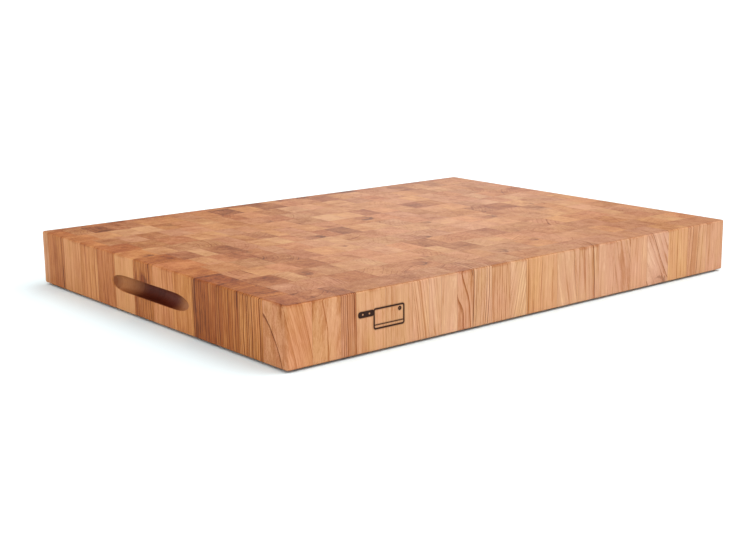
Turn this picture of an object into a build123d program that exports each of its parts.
"""End-grain maple butcher-block cutting board, with a finger grip routed into each short end.

The origin is the centre of the bottom face. +X runs along the length, +Y to the back, +Z up.
Rows of upright maple blocks run along X, glued side by side. The board is drawn once as a
finished blank, and every block is cut from it where it lies between its glue seams.
"""

import os
from itertools import pairwise

from build123d import *

os.makedirs("parts", exist_ok=True)

INCH = 25.4

# Finished board
board_length = 24 * INCH
board_width = 18 * INCH
board_height = 2.25 * INCH
corner_radius = 3.0
eased_edge_radius = 2.0

# Finger grips: a bullnose cutter swung about an upright axis outside each end
grip_length = 147.5
grip_depth = 14.0
grip_height = 16.2
grip_lip_radius = 1.0
grip_swing_radius = (grip_length**2 / 4 + grip_depth**2) / (2 * grip_depth)
grip_nose_radius = grip_height / 2

# Rows: full ones of one width, with the front and back ones trimmed when the board was squared
row_width = 37.2
front_row_width = 34.2
full_row_count = 11

# Glue seams between the blocks of each row, from the left end, front row first
block_seams = [
    [27, 58, 75, 108, 140, 160, 175, 195, 215, 240, 265, 287,
     310, 332, 364, 395, 421, 445, 473, 509, 543, 577],
    [28, 52, 72, 95, 130, 158, 183, 212, 238, 262, 283, 306,
     338, 372, 400, 428, 455, 480, 507, 533, 560, 583],
    [26, 60, 80, 100, 127, 156, 172, 200, 224, 247, 265, 300,
     322, 345, 370, 396, 422, 448, 472, 500, 528, 555, 582],
    [27, 50, 75, 98, 130, 150, 172, 200, 226, 251, 283, 304,
     338, 373, 400, 435, 462, 488, 515, 540, 565, 588],
    [30, 62, 93, 125, 150, 180, 204, 230, 262, 300, 325, 352,
     378, 400, 430, 455, 485, 512, 540, 570],
    [40, 60, 76, 99, 120, 140, 168, 195, 215, 243, 272, 300,
     328, 352, 382, 408, 436, 466, 496, 520, 545, 575],
    [36, 60, 76, 106, 130, 152, 170, 186, 212, 232, 258, 280,
     305, 332, 360, 386, 412, 440, 465, 503, 533, 556, 581],
    [30, 54, 80, 112, 132, 150, 174, 190, 214, 240, 266, 294,
     321, 346, 372, 398, 424, 456, 480, 506, 530, 552, 578],
    [34, 65, 100, 138, 160, 182, 205, 232, 268, 296, 322, 348,
     375, 399, 426, 452, 478, 505, 528, 550, 580],
    [15, 40, 63, 90, 116, 142, 170, 192, 222, 250, 274, 294,
     320, 348, 376, 402, 430, 458, 486, 514, 542, 566, 590],
    [27, 52, 78, 103, 128, 150, 172, 194, 212, 240, 272, 298,
     322, 340, 368, 396, 422, 450, 478, 504, 530, 558, 582],
    [17, 38, 62, 82, 100, 125, 150, 175, 199, 229, 258, 292,
     318, 344, 374, 398, 424, 450, 473, 497, 528, 552, 580],
    [24, 50, 75, 97, 125, 150, 178, 204, 230, 254, 280, 306,
     334, 360, 385, 402, 428, 455, 482, 508, 534, 560, 586],
]

# The finished blank, with both finger grips
with BuildPart() as blank:
    with BuildSketch():
        Rectangle(board_length, board_width)
    extrude(amount=board_height)
    fillet(blank.edges().filter_by(Axis.Z), corner_radius)
    fillet(blank.faces().sort_by(Axis.Z)[0].edges(), eased_edge_radius)
    fillet(blank.faces().sort_by(Axis.Z)[-1].edges(), eased_edge_radius)
    for end in (-1, 1):
        swing_x = end * (board_length / 2 - grip_depth + grip_swing_radius)
        nose_x = swing_x - end * (grip_swing_radius - grip_nose_radius)
        with BuildSketch(Plane.XZ):
            with Locations(((swing_x + nose_x) / 2, board_height / 2)):
                Rectangle(abs(swing_x - nose_x), grip_height)
            with Locations((nose_x, board_height / 2)):
                Circle(grip_nose_radius)
        revolve(axis=Axis((swing_x, 0, 0), (0, 0, 1)), mode=Mode.SUBTRACT)
    for end_face in (0, -1):
        lip = blank.faces().filter_by(Axis.X).sort_by(Axis.X)[end_face].inner_wires()
        fillet(lip.edges(), grip_lip_radius)


def make_block(left, right, front, back):
    """One upright block, between its four glue seams or the board's own edges."""
    middle = ((left + right) / 2, (front + back) / 2, board_height / 2)
    with BuildPart() as block:
        add(blank.part)
        with Locations(middle):
            Box(right - left, back - front, board_height, mode=Mode.INTERSECT)
    return block.part


def save(shape, name):
    shape.label = name
    export_step(shape, f"parts/{name}.step")


# The rows, front to back. The end blocks hold the finger grips. The blocks between them are two
# groups of alternate ones, so that no two solids of a group touch.
first_seam = front_row_width - board_width / 2
row_seams = [first_seam + row_width * row for row in range(full_row_count + 1)]
row_edges = [-board_width / 2, *row_seams, board_width / 2]
for row, (seams, (front, back)) in enumerate(zip(block_seams, pairwise(row_edges)), start=1):
    block_edges = [0, *seams, board_length]
    blocks = [
        make_block(left - board_length / 2, right - board_length / 2, front, back)
        for left, right in pairwise(block_edges)
    ]
    save(blocks[0], f"row_{row:02}_left_end_block")
    save(Compound(children=blocks[1:-1:2]), f"row_{row:02}_even_blocks")
    save(Compound(children=blocks[2:-1:2]), f"row_{row:02}_odd_blocks")
    save(blocks[-1], f"row_{row:02}_right_end_block")
